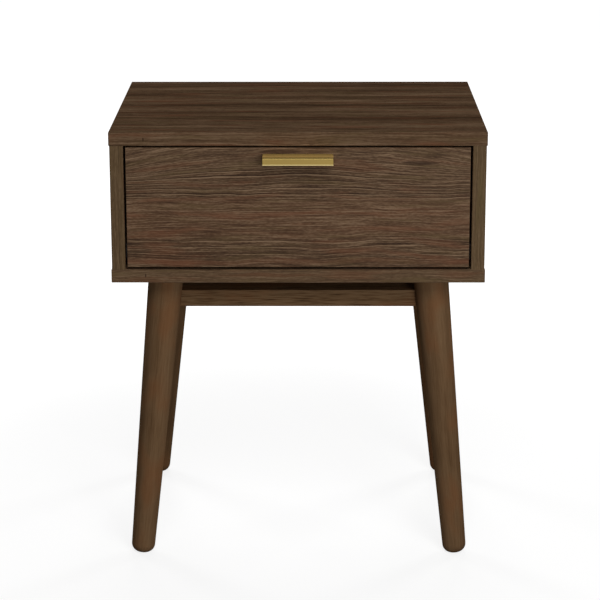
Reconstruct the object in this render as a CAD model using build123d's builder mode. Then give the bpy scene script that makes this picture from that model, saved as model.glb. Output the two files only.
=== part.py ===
from build123d import *
import os

# A side table with one drawer: a board cabinet on four turned, splayed legs that a flat
# stretcher frame ties together. +Z is up, the drawer faces -Y, and the origin is on the
# floor under the centre of the whole table, its pull included. Sizes are in millimetres.

# ---- cabinet boards ----
height = 600.0                # floor to the top's upper face
floor_clearance = 395.5       # floor to the cabinet's underside
top_width = 500.0
top_depth = 400.0
top_thickness = 18.0
side_thickness = 18.0
bottom_thickness = 18.0
back_thickness = 3.0
side_overhang = 1.0           # the top past each side
bottom_lip = 1.0              # the bottom past each side
front_setback = 1.0           # the sides and the drawer behind the top's front edge
edge_ease = 0.8               # rounding of the edge banding
groove_depth = 6.0
groove_inset = 12.0           # wood behind the back's groove
groove_play = 0.1

# ---- dowels, cams and screws of the boards ----
dowel_diameter = 8.0
dowel_length = 30.0
dowel_depth = 11.0            # how far a dowel stands in a board's face
dowel_play = 0.05
dowel_setback = 40.0          # from a side's front and rear edges
cam_setback = 75.0
cam_diameter = 15.0
cam_depth = 13.0
cam_distance = 24.0           # cam centre to the joint
cam_bolt_head = 7.0
cam_bolt_shank = 5.0
cam_bolt_embed = 11.0
fit_play = 0.1
base_screw_diameter = 7.0
base_screw_core = 5.0
base_screw_length = 50.0
base_screw_head = 10.0

# ---- legs ----
leg_inset_x = 70.0            # leg axis at the cabinet, from the bottom's end
leg_inset_y = 51.0            # and from the top's front and rear edges
leg_splay_x = 38.0            # how far the leg axis runs outwards down to the floor
leg_splay_y = 20.0
leg_top_diameter = 47.4
foot_diameter = 32.0
foot_rounding = 12.0
foot_trim = 0.5               # taken off the rounded end so that it stands level
leg_bolt_diameter = 8.0
leg_bolt_length = 35.0
leg_bolt_head = 13.0
leg_bolt_head_height = 4.5
leg_bolt_key = 5.0
washer_diameter = 16.0
washer_thickness = 1.6
insert_diameter = 12.0
insert_length = 18.0

# ---- stretcher frame ----
frame_gap = 23.0              # cabinet to frame
frame_thickness = 23.0
frame_width = 48.0
cope_play = 0.15              # leg to the scoop that it sits in
frame_dowel_spacing = 24.0
leg_dowel_start = 11.0        # from the leg's axis

# ---- drawer ----
drawer_gap_side = 3.0
drawer_gap_top = 2.5
drawer_gap_bottom = 3.5
front_thickness = 18.0
box_side_thickness = 15.0
box_back_thickness = 12.0
box_bottom_thickness = 3.0
box_rear_gap = 15.9           # box to the cabinet's back
box_headroom = 34.8           # box to the top's underside
box_groove_depth = 5.0
box_groove_height = 10.0      # wood below the drawer bottom's groove
box_joint_low_share = 1 / 6   # the corner fittings, as shares of the height above the groove
box_joint_high_share = 3 / 4
back_screw_diameter = 4.0
back_screw_head = 7.0
back_screw_length = 38.0

# ---- roller runners ----
runner_gap = 12.5             # cabinet side to drawer side
runner_lift = 10.0            # cabinet bottom to the runner's lower flange
runner_sheet = 1.2
runner_bend = 1.0
track_gap = 1.3               # cabinet member's track to the drawer member
roof_width = 8.0
channel_height = 21.7
roof_start = 45.0             # the opening that lets the rear roller in
flange_gap = 1.2              # drawer member's running flange to the roof
flange_reach = 2.8            # its free edge, from the cabinet side
seat_height = 3.2             # top of the flange under the drawer
seat_width = 11.5
roller_width = 7.0
roller_ease = 0.7
running_gap = 0.3
roller_offset = 14.0          # roller centre from the runner's end
rivet_diameter = 4.0
rivet_head = 7.2
rivet_head_height = 0.6
rivet_collar = 6.0
rivet_collar_height = 0.4
rivet_play = 0.05
axial_play = 0.2
drawer_travel = 250.0
stop_gap = 1.0
stop_height = 6.0
runner_screw_front = 37.0     # first screw, from the runner's front end
runner_screw_rear = 57.0      # last screw, from the runner's rear end
runner_screw_diameter = 3.5
runner_screw_length = 14.0
runner_screw_head = 6.0
runner_screw_head_height = 1.0
seat_screw_offset = 5.5       # from the drawer side's outer face

# ---- pull ----
handle_length = 93.0
handle_projection = 26.0
handle_thickness = 2.5
handle_drop = 8.0             # below the drawer front's upper edge
handle_slope = 1.4            # fall of the pull's top towards its lip
handle_lip = 11.2             # top of the pull to the lip's lower edge
handle_flange = 15.0
handle_bend = 1.6
handle_edge = 0.9             # rounding under the lip
handle_end_edge = 0.4
handle_screw_spacing = 64.0
handle_screw_diameter = 4.0
handle_screw_head = 8.0
handle_screw_head_height = 2.4

# ---- where the boards lie ----
handle_reach = handle_projection - front_setback
top_front_y = -(top_depth - handle_reach) / 2
top_back_y = top_front_y + top_depth
middle_y = (top_front_y + top_back_y) / 2
top_underside = height - top_thickness
side_outer_x = top_width / 2 - side_overhang
side_inner_x = side_outer_x - side_thickness
side_middle_x = (side_outer_x + side_inner_x) / 2
carcass_front_y = top_front_y + front_setback
bottom_top = floor_clearance + bottom_thickness
side_height = top_underside - bottom_top
groove_width = back_thickness + 2 * groove_play
groove_y = top_back_y - groove_inset - groove_width / 2
leg_top_x = side_outer_x + bottom_lip - leg_inset_x
leg_top_y = top_depth / 2 - leg_inset_y
foot_x = leg_top_x + leg_splay_x
foot_y = leg_top_y + leg_splay_y
dowel_ys = (carcass_front_y + dowel_setback, top_back_y - dowel_setback)
cam_ys = (carcass_front_y + cam_setback, top_back_y - cam_setback)

# ---- where the leg frame lies ----
frame_top = floor_clearance - frame_gap
frame_middle_z = frame_top - frame_thickness / 2
frame_share = frame_middle_z / floor_clearance
frame_x = foot_x + (leg_top_x - foot_x) * frame_share
frame_y = foot_y + (leg_top_y - foot_y) * frame_share
frame_inner_y = frame_y - frame_width
corners = ((-1, -1), (1, -1), (-1, 1), (1, 1))

# ---- where the drawer lies ----
front_face_y = carcass_front_y
front_rear_y = front_face_y + front_thickness
front_half_width = side_inner_x - drawer_gap_side
front_low_z = bottom_top + drawer_gap_bottom
front_high_z = top_underside - drawer_gap_top
runner_z = bottom_top + runner_lift
box_low_z = runner_z + seat_height
box_outer_x = side_inner_x - runner_gap
box_inner_x = box_outer_x - box_side_thickness
box_middle_x = (box_outer_x + box_inner_x) / 2
box_rear_y = groove_y - back_thickness / 2 - box_rear_gap
box_length = box_rear_y - front_rear_y
box_high_z = top_underside - box_headroom
box_back_y = box_rear_y - box_back_thickness / 2
box_groove_z = box_low_z + box_groove_height
box_groove_width = box_bottom_thickness + 2 * groove_play
box_floor_z = box_groove_z + groove_play + box_bottom_thickness
box_joint_start_z = box_groove_z + box_groove_width
box_joint_zs = tuple(box_joint_start_z + share * (box_high_z - box_joint_start_z)
                     for share in (box_joint_low_share, box_joint_high_share))
box_cam_z = sum(box_joint_zs) / 2

# ---- where the runners lie ----
runner_front_y = front_rear_y
runner_rear_y = box_rear_y
runner_length = runner_rear_y - runner_front_y
runner_screw_first_y = runner_front_y + runner_screw_front
runner_screw_last_y = runner_rear_y - runner_screw_rear
runner_screw_ys = (runner_screw_first_y, (runner_screw_first_y + runner_screw_last_y) / 2,
                   runner_screw_last_y)
track_width = runner_gap - runner_sheet - track_gap
flange_height = channel_height - runner_sheet - flange_gap
flange_underside = flange_height - runner_sheet
front_roller_radius = (flange_underside - running_gap - runner_sheet - 2 * running_gap) / 2
front_roller_z = runner_z + flange_underside - running_gap - front_roller_radius
front_roller_y = runner_front_y + roller_offset
rear_roller_radius = (channel_height - 2 * runner_sheet - 2 * running_gap) / 2
rear_roller_z = runner_z + channel_height / 2
rear_roller_y = runner_rear_y - runner_sheet - running_gap - rear_roller_radius
front_roller_x = side_inner_x - runner_sheet - rivet_collar_height - axial_play - roller_width / 2
rear_roller_x = box_outer_x + runner_sheet + rivet_collar_height + axial_play + roller_width / 2
stop_y = rear_roller_y - drawer_travel - rear_roller_radius - stop_gap - runner_sheet
flange_end_y = rear_roller_y - rear_roller_radius - stop_gap
seat_screw_x = box_outer_x - seat_screw_offset

# ---- where the pull lies ----
handle_root_z = front_high_z - handle_drop
handle_screw_z = handle_root_z - (handle_flange + handle_thickness) / 2

BOTTOM = (Align.CENTER, Align.CENTER, Align.MIN)


def rod(start, direction, diameter, length, mode=Mode.ADD):
    """Add a cylinder that runs from start along direction to the part being built."""
    with Locations(Plane(origin=start, z_dir=direction)):
        Cylinder(diameter / 2, length, align=BOTTOM, mode=mode)


def board(low, high):
    """Add a board between two opposite corners to the part being built."""
    with Locations(Vector(*low)):
        Box(*(b - a for a, b in zip(low, high)), align=(Align.MIN, Align.MIN, Align.MIN))


def save(piece, name):
    """Name a finished piece and write its STEP file."""
    piece.part.label = name
    export_step(piece.part, f"parts/{name}.step")


def mirrored(piece, plane=Plane.YZ):
    """Make the piece's twin on the other side of a plane."""
    with BuildPart() as twin:
        mirror(piece.part, about=plane)
    return twin


# ---- cabinet ----


def make_top_panel():
    with BuildPart() as top_panel:
        board((-top_width / 2, top_front_y, top_underside), (top_width / 2, top_back_y, height))
        fillet(top_panel.edges(), edge_ease)
        with BuildSketch(Plane.XY.offset(top_underside)):
            with Locations((0, groove_y)):
                Rectangle(2 * (side_inner_x + groove_depth), groove_width)
        extrude(amount=groove_depth, mode=Mode.SUBTRACT)
        for side in (-1, 1):
            for y in dowel_ys:
                rod((side * side_middle_x, y, top_underside), (0, 0, 1),
                    dowel_diameter + 2 * dowel_play, dowel_depth + fit_play, Mode.SUBTRACT)
            for y in cam_ys:
                rod((side * side_middle_x, y, top_underside), (0, 0, 1),
                    cam_bolt_shank + 2 * fit_play, cam_bolt_embed + fit_play, Mode.SUBTRACT)
    return top_panel


def make_bottom_panel():
    half_width = side_outer_x + bottom_lip
    with BuildPart() as bottom_panel:
        board((-half_width, carcass_front_y, floor_clearance), (half_width, top_back_y, bottom_top))
        fillet(bottom_panel.edges(), edge_ease)
        with BuildSketch(Plane.XY.offset(bottom_top)):
            with Locations((0, groove_y)):
                Rectangle(2 * (side_inner_x + groove_depth), groove_width)
        extrude(amount=-groove_depth, mode=Mode.SUBTRACT)
        for side in (-1, 1):
            for y in dowel_ys:
                rod((side * side_middle_x, y, bottom_top), (0, 0, -1),
                    dowel_diameter + 2 * dowel_play, dowel_depth + fit_play, Mode.SUBTRACT)
            for y in cam_ys:
                with Locations(Plane(origin=(side * side_middle_x, y, floor_clearance), z_dir=(0, 0, -1))):
                    CounterSinkHole((base_screw_diameter + 2 * fit_play) / 2,
                                    (base_screw_head + 2 * fit_play) / 2, bottom_thickness)
        for x_side, y_side in corners:
            with Locations((x_side * leg_top_x, middle_y + y_side * leg_top_y, bottom_top)):
                Hole((leg_bolt_diameter + 4 * fit_play) / 2, bottom_thickness)
    return bottom_panel


def make_right_side_panel():
    with BuildPart() as side_panel:
        board((side_inner_x, carcass_front_y, bottom_top), (side_outer_x, top_back_y, top_underside))
        fillet(side_panel.edges().filter_by(Axis.Z), edge_ease)
        with BuildSketch(Plane.XY.offset(bottom_top)):
            with Locations((side_inner_x + groove_depth / 2, groove_y)):
                Rectangle(groove_depth, groove_width)
        extrude(amount=side_height, mode=Mode.SUBTRACT)
        for y in dowel_ys:
            for z, into in ((top_underside, -1), (bottom_top, 1)):
                rod((side_middle_x, y, z), (0, 0, into), dowel_diameter + 2 * dowel_play,
                    dowel_length - dowel_depth + fit_play, Mode.SUBTRACT)
        for y in cam_ys:
            rod((side_middle_x, y, top_underside), (0, 0, -1), cam_bolt_head + 2 * fit_play,
                cam_distance, Mode.SUBTRACT)
            rod((side_inner_x, y, top_underside - cam_distance), (1, 0, 0),
                cam_diameter + 2 * fit_play, cam_depth + fit_play, Mode.SUBTRACT)
            rod((side_middle_x, y, bottom_top), (0, 0, 1), base_screw_core + 2 * fit_play,
                base_screw_length - bottom_thickness + fit_play, Mode.SUBTRACT)
        for y in runner_screw_ys:
            rod((side_inner_x, y, runner_z + channel_height / 2), (1, 0, 0),
                runner_screw_diameter + 2 * fit_play, runner_screw_length, Mode.SUBTRACT)
    return side_panel


def make_back_panel():
    reach = groove_depth - groove_play
    half_width = side_inner_x + reach
    with BuildPart() as back_panel:
        board((-half_width, groove_y - back_thickness / 2, bottom_top - reach),
              (half_width, groove_y + back_thickness / 2, top_underside + reach))
    return back_panel


def make_carcass_dowels():
    with BuildPart() as dowels:
        for x in (-side_middle_x, side_middle_x):
            for y in dowel_ys:
                rod((x, y, bottom_top - dowel_depth), (0, 0, 1), dowel_diameter, dowel_length)
                rod((x, y, top_underside + dowel_depth), (0, 0, -1), dowel_diameter, dowel_length)
        chamfer(dowels.edges().filter_by(GeomType.CIRCLE), dowel_diameter / 10)
    return dowels


def add_cam(face, inward, towards_joint, bolt_depth):
    """Add a cam disc with a cross slot in its face and a mouth for the bolt's head."""
    face = Vector(*face)
    rod(face, inward, cam_diameter, cam_depth)
    rod(face + Vector(*inward) * bolt_depth, towards_joint, cam_bolt_head + 2 * fit_play,
        cam_diameter, Mode.SUBTRACT)
    with Locations(Plane(origin=face, z_dir=inward)):
        Box(cam_diameter / 2, cam_diameter / 10, cam_depth / 5, mode=Mode.SUBTRACT)
        Box(cam_diameter / 10, cam_diameter / 2, cam_depth / 5, mode=Mode.SUBTRACT)


def add_cam_bolt(joint, into_board, neck):
    """Add a cam bolt: a threaded end in one board, and a shank and head in the next."""
    joint = Vector(*joint)
    into_cam = Vector(*into_board) * -1
    rod(joint, into_board, cam_bolt_shank, cam_bolt_embed)
    rod(joint, into_cam, cam_bolt_shank, neck)
    rod(joint + into_cam * (neck - cam_bolt_head / 2), into_cam, cam_bolt_head, cam_bolt_head / 2)


def make_cam_locks():
    with BuildPart() as cams:
        for side in (-1, 1):
            for y in cam_ys:
                face = (side * side_inner_x, y, top_underside - cam_distance)
                add_cam(face, (side, 0, 0), (0, 0, 1), side_middle_x - side_inner_x)
    return cams


def make_cam_bolts():
    with BuildPart() as bolts:
        for side in (-1, 1):
            for y in cam_ys:
                add_cam_bolt((side * side_middle_x, y, top_underside), (0, 0, 1), cam_distance)
    return bolts


def make_base_screws():
    cone = (base_screw_head - base_screw_diameter) / 2
    with BuildPart() as screws:
        for side in (-1, 1):
            for y in cam_ys:
                head = Vector(side * side_middle_x, y, floor_clearance)
                rod(head, (0, 0, 1), base_screw_diameter, bottom_thickness)
                rod(head, (0, 0, 1), base_screw_core, base_screw_length)
                with Locations(head):
                    Cone(base_screw_head / 2, base_screw_diameter / 2, cone, align=BOTTOM)
    return screws


# ---- legs and stretcher frame ----


def leg_ends(x_side, y_side):
    """Return the points where a leg's axis meets the floor and the cabinet."""
    foot = Vector(x_side * foot_x, middle_y + y_side * foot_y, 0)
    crown = Vector(x_side * leg_top_x, middle_y + y_side * leg_top_y, floor_clearance)
    return foot, crown


def turned_blank(x_side, y_side, extra=0.0):
    """Turn a tapered leg with a rounded foot about its splayed axis."""
    foot, crown = leg_ends(x_side, y_side)
    axis_length = (crown - foot).length
    along = (crown - foot).normalized()
    across = Vector(0, 1, 0).cross(along).normalized()
    overrun = leg_top_diameter / 2
    taper = (leg_top_diameter - foot_diameter) / 2 / axis_length
    foot_radius = foot_diameter / 2 + extra
    crown_radius = foot_radius + taper * (axis_length + overrun)
    with BuildPart() as blank:
        with BuildSketch(Plane(origin=foot, x_dir=across, z_dir=across.cross(along))) as profile:
            with BuildLine():
                Polyline((0, -foot_trim), (foot_radius, -foot_trim),
                         (crown_radius, axis_length + overrun), (0, axis_length + overrun), close=True)
            make_face()
            rounded = profile.vertices().sort_by_distance((foot_radius, -foot_trim))[0]
            fillet(rounded, min(foot_rounding, 0.9 * foot_radius))
        revolve(axis=Axis(foot, along))
    return blank


def dowel_hole(x_side, y_side):
    """Return the start and the direction of the dowel between a leg and its frame corner."""
    inward = Vector(-x_side, -y_side, 0).normalized()
    axis_point = Vector(x_side * frame_x, middle_y + y_side * frame_y, frame_middle_z)
    return axis_point + inward * leg_dowel_start, inward


def make_leg(x_side, y_side):
    crown = leg_ends(x_side, y_side)[1]
    start, inward = dowel_hole(x_side, y_side)
    with BuildPart() as leg:
        add(turned_blank(x_side, y_side).part)
        split(bisect_by=Plane.XY.offset(floor_clearance), keep=Keep.BOTTOM)
        split(bisect_by=Plane.XY, keep=Keep.TOP)
        rod(crown, (0, 0, -1), leg_bolt_diameter + 2 * fit_play, leg_bolt_length - bottom_thickness,
            Mode.SUBTRACT)
        rod(crown, (0, 0, -1), insert_diameter + 2 * fit_play, insert_length + fit_play, Mode.SUBTRACT)
        rod(start, inward, dowel_diameter + 2 * dowel_play, dowel_length, Mode.SUBTRACT)
    return leg


def make_long_rail(y_side):
    outer_y = middle_y + y_side * frame_y
    inner_y = middle_y + y_side * frame_inner_y
    with BuildPart() as rail:
        board((-frame_x, min(outer_y, inner_y), frame_top - frame_thickness),
              (frame_x, max(outer_y, inner_y), frame_top))
        fillet(rail.edges().filter_by(Axis.X), edge_ease)
        for x_side in (-1, 1):
            add(turned_blank(x_side, y_side, cope_play).part, mode=Mode.SUBTRACT)
            start, inward = dowel_hole(x_side, y_side)
            rod(start, inward, dowel_diameter + 2 * dowel_play, dowel_length + fit_play, Mode.SUBTRACT)
        for x in frame_dowel_xs():
            rod((x, inner_y, frame_middle_z), (0, y_side, 0), dowel_diameter + 2 * dowel_play,
                dowel_length / 2 + fit_play, Mode.SUBTRACT)
    return rail


def frame_dowel_xs():
    """Return the places of the dowels between the long rails and the side rails."""
    centre = frame_x - frame_width / 2
    half = frame_dowel_spacing / 2
    return [side * (centre + shift) for side in (-1, 1) for shift in (-half, half)]


def make_right_rail():
    with BuildPart() as rail:
        board((frame_x - frame_width, middle_y - frame_inner_y, frame_top - frame_thickness),
              (frame_x, middle_y + frame_inner_y, frame_top))
        fillet(rail.edges().filter_by(Axis.Y), edge_ease)
        for x in frame_dowel_xs()[2:]:
            for y_side in (-1, 1):
                rod((x, middle_y + y_side * frame_inner_y, frame_middle_z), (0, -y_side, 0),
                    dowel_diameter + 2 * dowel_play, dowel_length / 2 + fit_play, Mode.SUBTRACT)
    return rail


def make_frame_dowels():
    with BuildPart() as dowels:
        for x in frame_dowel_xs():
            for y_side in (-1, 1):
                start_y = middle_y + y_side * (frame_inner_y - dowel_length / 2)
                rod((x, start_y, frame_middle_z), (0, y_side, 0), dowel_diameter, dowel_length)
        chamfer(dowels.edges().filter_by(GeomType.CIRCLE), dowel_diameter / 10)
    return dowels


def make_leg_dowels():
    with BuildPart() as dowels:
        for corner in corners:
            start, inward = dowel_hole(*corner)
            rod(start, inward, dowel_diameter, dowel_length)
        chamfer(dowels.edges().filter_by(GeomType.CIRCLE), dowel_diameter / 10)
    return dowels


def make_leg_inserts():
    with BuildPart() as inserts:
        for corner in corners:
            crown = leg_ends(*corner)[1]
            rod(crown, (0, 0, -1), insert_diameter, insert_length)
            rod(crown, (0, 0, -1), leg_bolt_diameter + 2 * fit_play, insert_length, Mode.SUBTRACT)
    return inserts


def make_leg_washers():
    with BuildPart() as washers:
        for x_side, y_side in corners:
            seat = (x_side * leg_top_x, middle_y + y_side * leg_top_y, bottom_top)
            rod(seat, (0, 0, 1), washer_diameter, washer_thickness)
            rod(seat, (0, 0, 1), leg_bolt_diameter + 2 * fit_play, washer_thickness, Mode.SUBTRACT)
    return washers


def make_leg_bolts():
    head_z = bottom_top + washer_thickness
    with BuildPart() as bolts:
        for x_side, y_side in corners:
            seat = Vector(x_side * leg_top_x, middle_y + y_side * leg_top_y, head_z)
            rod(seat, (0, 0, 1), leg_bolt_head, leg_bolt_head_height)
            rod(seat, (0, 0, -1), leg_bolt_diameter, leg_bolt_length)
        fillet(bolts.edges().group_by(Axis.Z)[-1], leg_bolt_head_height / 2)
        with BuildSketch(Plane.XY.offset(head_z + leg_bolt_head_height)):
            for x_side, y_side in corners:
                with Locations((x_side * leg_top_x, middle_y + y_side * leg_top_y)):
                    RegularPolygon(leg_bolt_key / 2, 6, major_radius=False)
        extrude(amount=-leg_bolt_head_height / 2, mode=Mode.SUBTRACT)
    return bolts


# ---- roller runners ----


def runner_plane(y):
    """Return the right-hand runner's section plane: x from the cabinet side, y from its base."""
    return Plane(origin=(side_inner_x, y, runner_z), x_dir=(-1, 0, 0), z_dir=(0, 1, 0))


def make_right_cabinet_runner():
    tail_room = rivet_diameter + 2 * rivet_play
    with BuildPart() as runner:
        with BuildSketch(runner_plane(runner_front_y)):
            with BuildLine():
                FilletPolyline((track_width, 0), (0, 0), (0, channel_height), (roof_width, channel_height),
                               radius=runner_bend + runner_sheet)
                offset(amount=runner_sheet, side=Side.RIGHT)
            make_face()
        extrude(amount=runner_length)
        with BuildSketch(runner_plane(runner_front_y)):
            with Locations((runner_sheet + runner_bend, channel_height - runner_sheet - runner_bend)):
                Rectangle(roof_width, roof_width, align=(Align.MIN, Align.MIN))
        extrude(amount=roof_start, mode=Mode.SUBTRACT)
        with BuildSketch(runner_plane(stop_y)):
            with Locations((runner_sheet + runner_bend, runner_sheet / 2)):
                Rectangle(track_width - runner_sheet - runner_bend, stop_height,
                          align=(Align.MIN, Align.MIN))
        extrude(amount=runner_sheet)
        with BuildSketch(runner_plane(runner_rear_y - runner_sheet)):
            with Locations((runner_sheet / 2, runner_sheet / 2)):
                Rectangle(track_width - runner_sheet, channel_height - runner_sheet,
                          align=(Align.MIN, Align.MIN))
        extrude(amount=runner_sheet)
        rod((side_inner_x, front_roller_y, front_roller_z), (-1, 0, 0), tail_room, runner_sheet,
            Mode.SUBTRACT)
        for y in runner_screw_ys:
            rod((side_inner_x, y, runner_z + channel_height / 2), (-1, 0, 0),
                runner_screw_diameter + 2 * fit_play, runner_sheet, Mode.SUBTRACT)
    return runner


def make_right_drawer_runner():
    tail_room = rivet_diameter + 2 * rivet_play
    with BuildPart() as runner:
        with BuildSketch(runner_plane(runner_front_y)):
            with BuildLine():
                FilletPolyline((flange_reach, flange_height), (runner_gap, flange_height),
                               (runner_gap, seat_height), (runner_gap + seat_width, seat_height),
                               radius=runner_bend)
                offset(amount=runner_sheet, side=Side.RIGHT)
            make_face()
        extrude(amount=runner_length)
        with BuildSketch(runner_plane(flange_end_y)):
            with Locations((flange_reach - fit_play, flange_height + fit_play)):
                Rectangle(runner_gap - runner_sheet - flange_reach + fit_play, 2 * runner_sheet,
                          align=(Align.MIN, Align.MAX))
        extrude(amount=box_rear_y - flange_end_y, mode=Mode.SUBTRACT)
        rod((box_outer_x, rear_roller_y, rear_roller_z), (1, 0, 0), tail_room, runner_sheet,
            Mode.SUBTRACT)
        for y in runner_screw_ys:
            rod((seat_screw_x, y, box_low_z), (0, 0, -1),
                runner_screw_diameter + 2 * fit_play, runner_sheet, Mode.SUBTRACT)
    return runner


def make_roller(centre, radius):
    """Turn a nylon roller with eased rims and a bore for its rivet, about an axis along X."""
    bore = rivet_diameter / 2 + rivet_play
    with BuildPart() as roller:
        with BuildSketch(Plane(origin=centre, x_dir=(1, 0, 0), z_dir=(0, -1, 0))) as section:
            with Locations((0, bore)):
                Rectangle(roller_width, radius - bore, align=(Align.CENTER, Align.MIN))
            fillet(section.vertices().group_by(Axis.Y)[-1], roller_ease)
        revolve(axis=Axis(centre, (1, 0, 0)))
    return roller


def add_rivet(web_face, outwards):
    """Add a shouldered rivet: its tail in a web, its journal and head on the roller's side."""
    web_face = Vector(*web_face)
    outwards = Vector(*outwards)
    tail = web_face - outwards * runner_sheet
    collar_end = web_face + outwards * rivet_collar_height
    span = roller_width + 2 * axial_play
    rod(tail + outwards * fit_play, outwards, rivet_diameter,
        runner_sheet - fit_play + rivet_collar_height + span)
    rod(web_face, outwards, rivet_collar, rivet_collar_height)
    rod(collar_end + outwards * span, outwards, rivet_head, rivet_head_height)


def make_front_rivets():
    with BuildPart() as rivets:
        for side in (-1, 1):
            web_x = side * (side_inner_x - runner_sheet)
            add_rivet((web_x, front_roller_y, front_roller_z), (-side, 0, 0))
    return rivets


def make_rear_rivets():
    with BuildPart() as rivets:
        for side in (-1, 1):
            web_x = side * (box_outer_x + runner_sheet)
            add_rivet((web_x, rear_roller_y, rear_roller_z), (side, 0, 0))
    return rivets


def make_cabinet_runner_screws():
    web_x = side_inner_x - runner_sheet
    with BuildPart() as screws:
        for side in (-1, 1):
            for y in runner_screw_ys:
                head = (side * web_x, y, runner_z + channel_height / 2)
                rod(head, (side, 0, 0), runner_screw_diameter, runner_screw_length)
                rod(head, (-side, 0, 0), runner_screw_head, runner_screw_head_height)
    return screws


def make_drawer_runner_screws():
    with BuildPart() as screws:
        for side in (-1, 1):
            for y in runner_screw_ys:
                head = (side * seat_screw_x, y, box_low_z - runner_sheet)
                rod(head, (0, 0, 1), runner_screw_diameter, runner_screw_length)
                rod(head, (0, 0, -1), runner_screw_head, runner_screw_head_height)
    return screws


# ---- drawer ----


def make_drawer_front():
    with BuildPart() as front:
        board((-front_half_width, front_face_y, front_low_z),
              (front_half_width, front_rear_y, front_high_z))
        fillet(front.edges(), edge_ease)
        with BuildSketch(Plane.XZ.offset(-front_rear_y)):
            with Locations((0, box_groove_z + box_groove_width / 2)):
                Rectangle(2 * (box_inner_x + box_groove_depth), box_groove_width)
        extrude(amount=box_groove_depth, mode=Mode.SUBTRACT)
        for side in (-1, 1):
            for z in box_joint_zs:
                rod((side * box_middle_x, front_rear_y, z), (0, -1, 0), dowel_diameter + 2 * dowel_play,
                    dowel_depth + fit_play, Mode.SUBTRACT)
            rod((side * box_middle_x, front_rear_y, box_cam_z), (0, -1, 0),
                cam_bolt_shank + 2 * fit_play, cam_bolt_embed + fit_play, Mode.SUBTRACT)
            rod((side * handle_screw_spacing / 2, front_rear_y, handle_screw_z), (0, -1, 0),
                handle_screw_diameter + 4 * fit_play, front_thickness, Mode.SUBTRACT)
    return front


def make_right_box_side():
    with BuildPart() as side_board:
        board((box_inner_x, front_rear_y, box_low_z), (box_outer_x, box_rear_y, box_high_z))
        chamfer(side_board.edges().filter_by(Axis.Y), runner_bend + edge_ease / 2)
        with BuildSketch(Plane.XZ.offset(-front_rear_y)):
            with Locations((box_inner_x + box_groove_depth / 2, box_groove_z + box_groove_width / 2)):
                Rectangle(box_groove_depth, box_groove_width)
        extrude(amount=-box_length, mode=Mode.SUBTRACT)
        for z in box_joint_zs:
            rod((box_middle_x, front_rear_y, z), (0, 1, 0), dowel_diameter + 2 * dowel_play,
                dowel_length - dowel_depth + fit_play, Mode.SUBTRACT)
        rod((box_middle_x, front_rear_y, box_cam_z), (0, 1, 0), cam_bolt_head + 2 * fit_play,
            cam_distance, Mode.SUBTRACT)
        rod((box_outer_x, front_rear_y + cam_distance, box_cam_z), (-1, 0, 0),
            cam_diameter + 2 * fit_play, cam_depth + fit_play, Mode.SUBTRACT)
        for z in box_joint_zs:
            with Locations(Plane(origin=(box_outer_x, box_back_y, z), z_dir=(1, 0, 0))):
                CounterSinkHole((back_screw_diameter + 2 * fit_play) / 2,
                                (back_screw_head + 2 * fit_play) / 2, box_side_thickness)
        for y in runner_screw_ys:
            rod((seat_screw_x, y, box_low_z), (0, 0, 1),
                runner_screw_diameter + 2 * fit_play, runner_screw_length, Mode.SUBTRACT)
    return side_board


def make_drawer_back():
    with BuildPart() as back_board:
        board((-box_inner_x, box_rear_y - box_back_thickness, box_floor_z),
              (box_inner_x, box_rear_y, box_high_z))
        chamfer(back_board.edges().filter_by(Axis.X).group_by(Axis.Z)[-1], edge_ease)
        for side in (-1, 1):
            for z in box_joint_zs:
                rod((side * box_inner_x, box_back_y, z), (-side, 0, 0),
                    back_screw_diameter + 2 * fit_play, back_screw_length - box_side_thickness,
                    Mode.SUBTRACT)
    return back_board


def make_drawer_bottom():
    half_width = box_inner_x + box_groove_depth - groove_play
    low_z = box_groove_z + groove_play
    with BuildPart() as floor_board:
        board((-half_width, front_rear_y - box_groove_depth + groove_play, low_z),
              (half_width, box_rear_y, low_z + box_bottom_thickness))
    return floor_board


def make_drawer_dowels():
    with BuildPart() as dowels:
        for side in (-1, 1):
            for z in box_joint_zs:
                start = (side * box_middle_x, front_rear_y - dowel_depth, z)
                rod(start, (0, 1, 0), dowel_diameter, dowel_length)
        chamfer(dowels.edges().filter_by(GeomType.CIRCLE), dowel_diameter / 10)
    return dowels


def make_drawer_cam_locks():
    with BuildPart() as cams:
        for side in (-1, 1):
            face = (side * box_outer_x, front_rear_y + cam_distance, box_cam_z)
            add_cam(face, (-side, 0, 0), (0, -1, 0), box_outer_x - box_middle_x)
    return cams


def make_drawer_cam_bolts():
    with BuildPart() as bolts:
        for side in (-1, 1):
            add_cam_bolt((side * box_middle_x, front_rear_y, box_cam_z), (0, -1, 0), cam_distance)
    return bolts


def make_drawer_back_screws():
    cone = (back_screw_head - back_screw_diameter) / 2
    with BuildPart() as screws:
        for side in (-1, 1):
            for z in box_joint_zs:
                head = (side * box_outer_x, box_back_y, z)
                rod(head, (-side, 0, 0), back_screw_diameter, back_screw_length)
                with Locations(Plane(origin=head, z_dir=(-side, 0, 0))):
                    Cone(back_screw_head / 2, back_screw_diameter / 2, cone, align=BOTTOM)
    return screws


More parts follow.
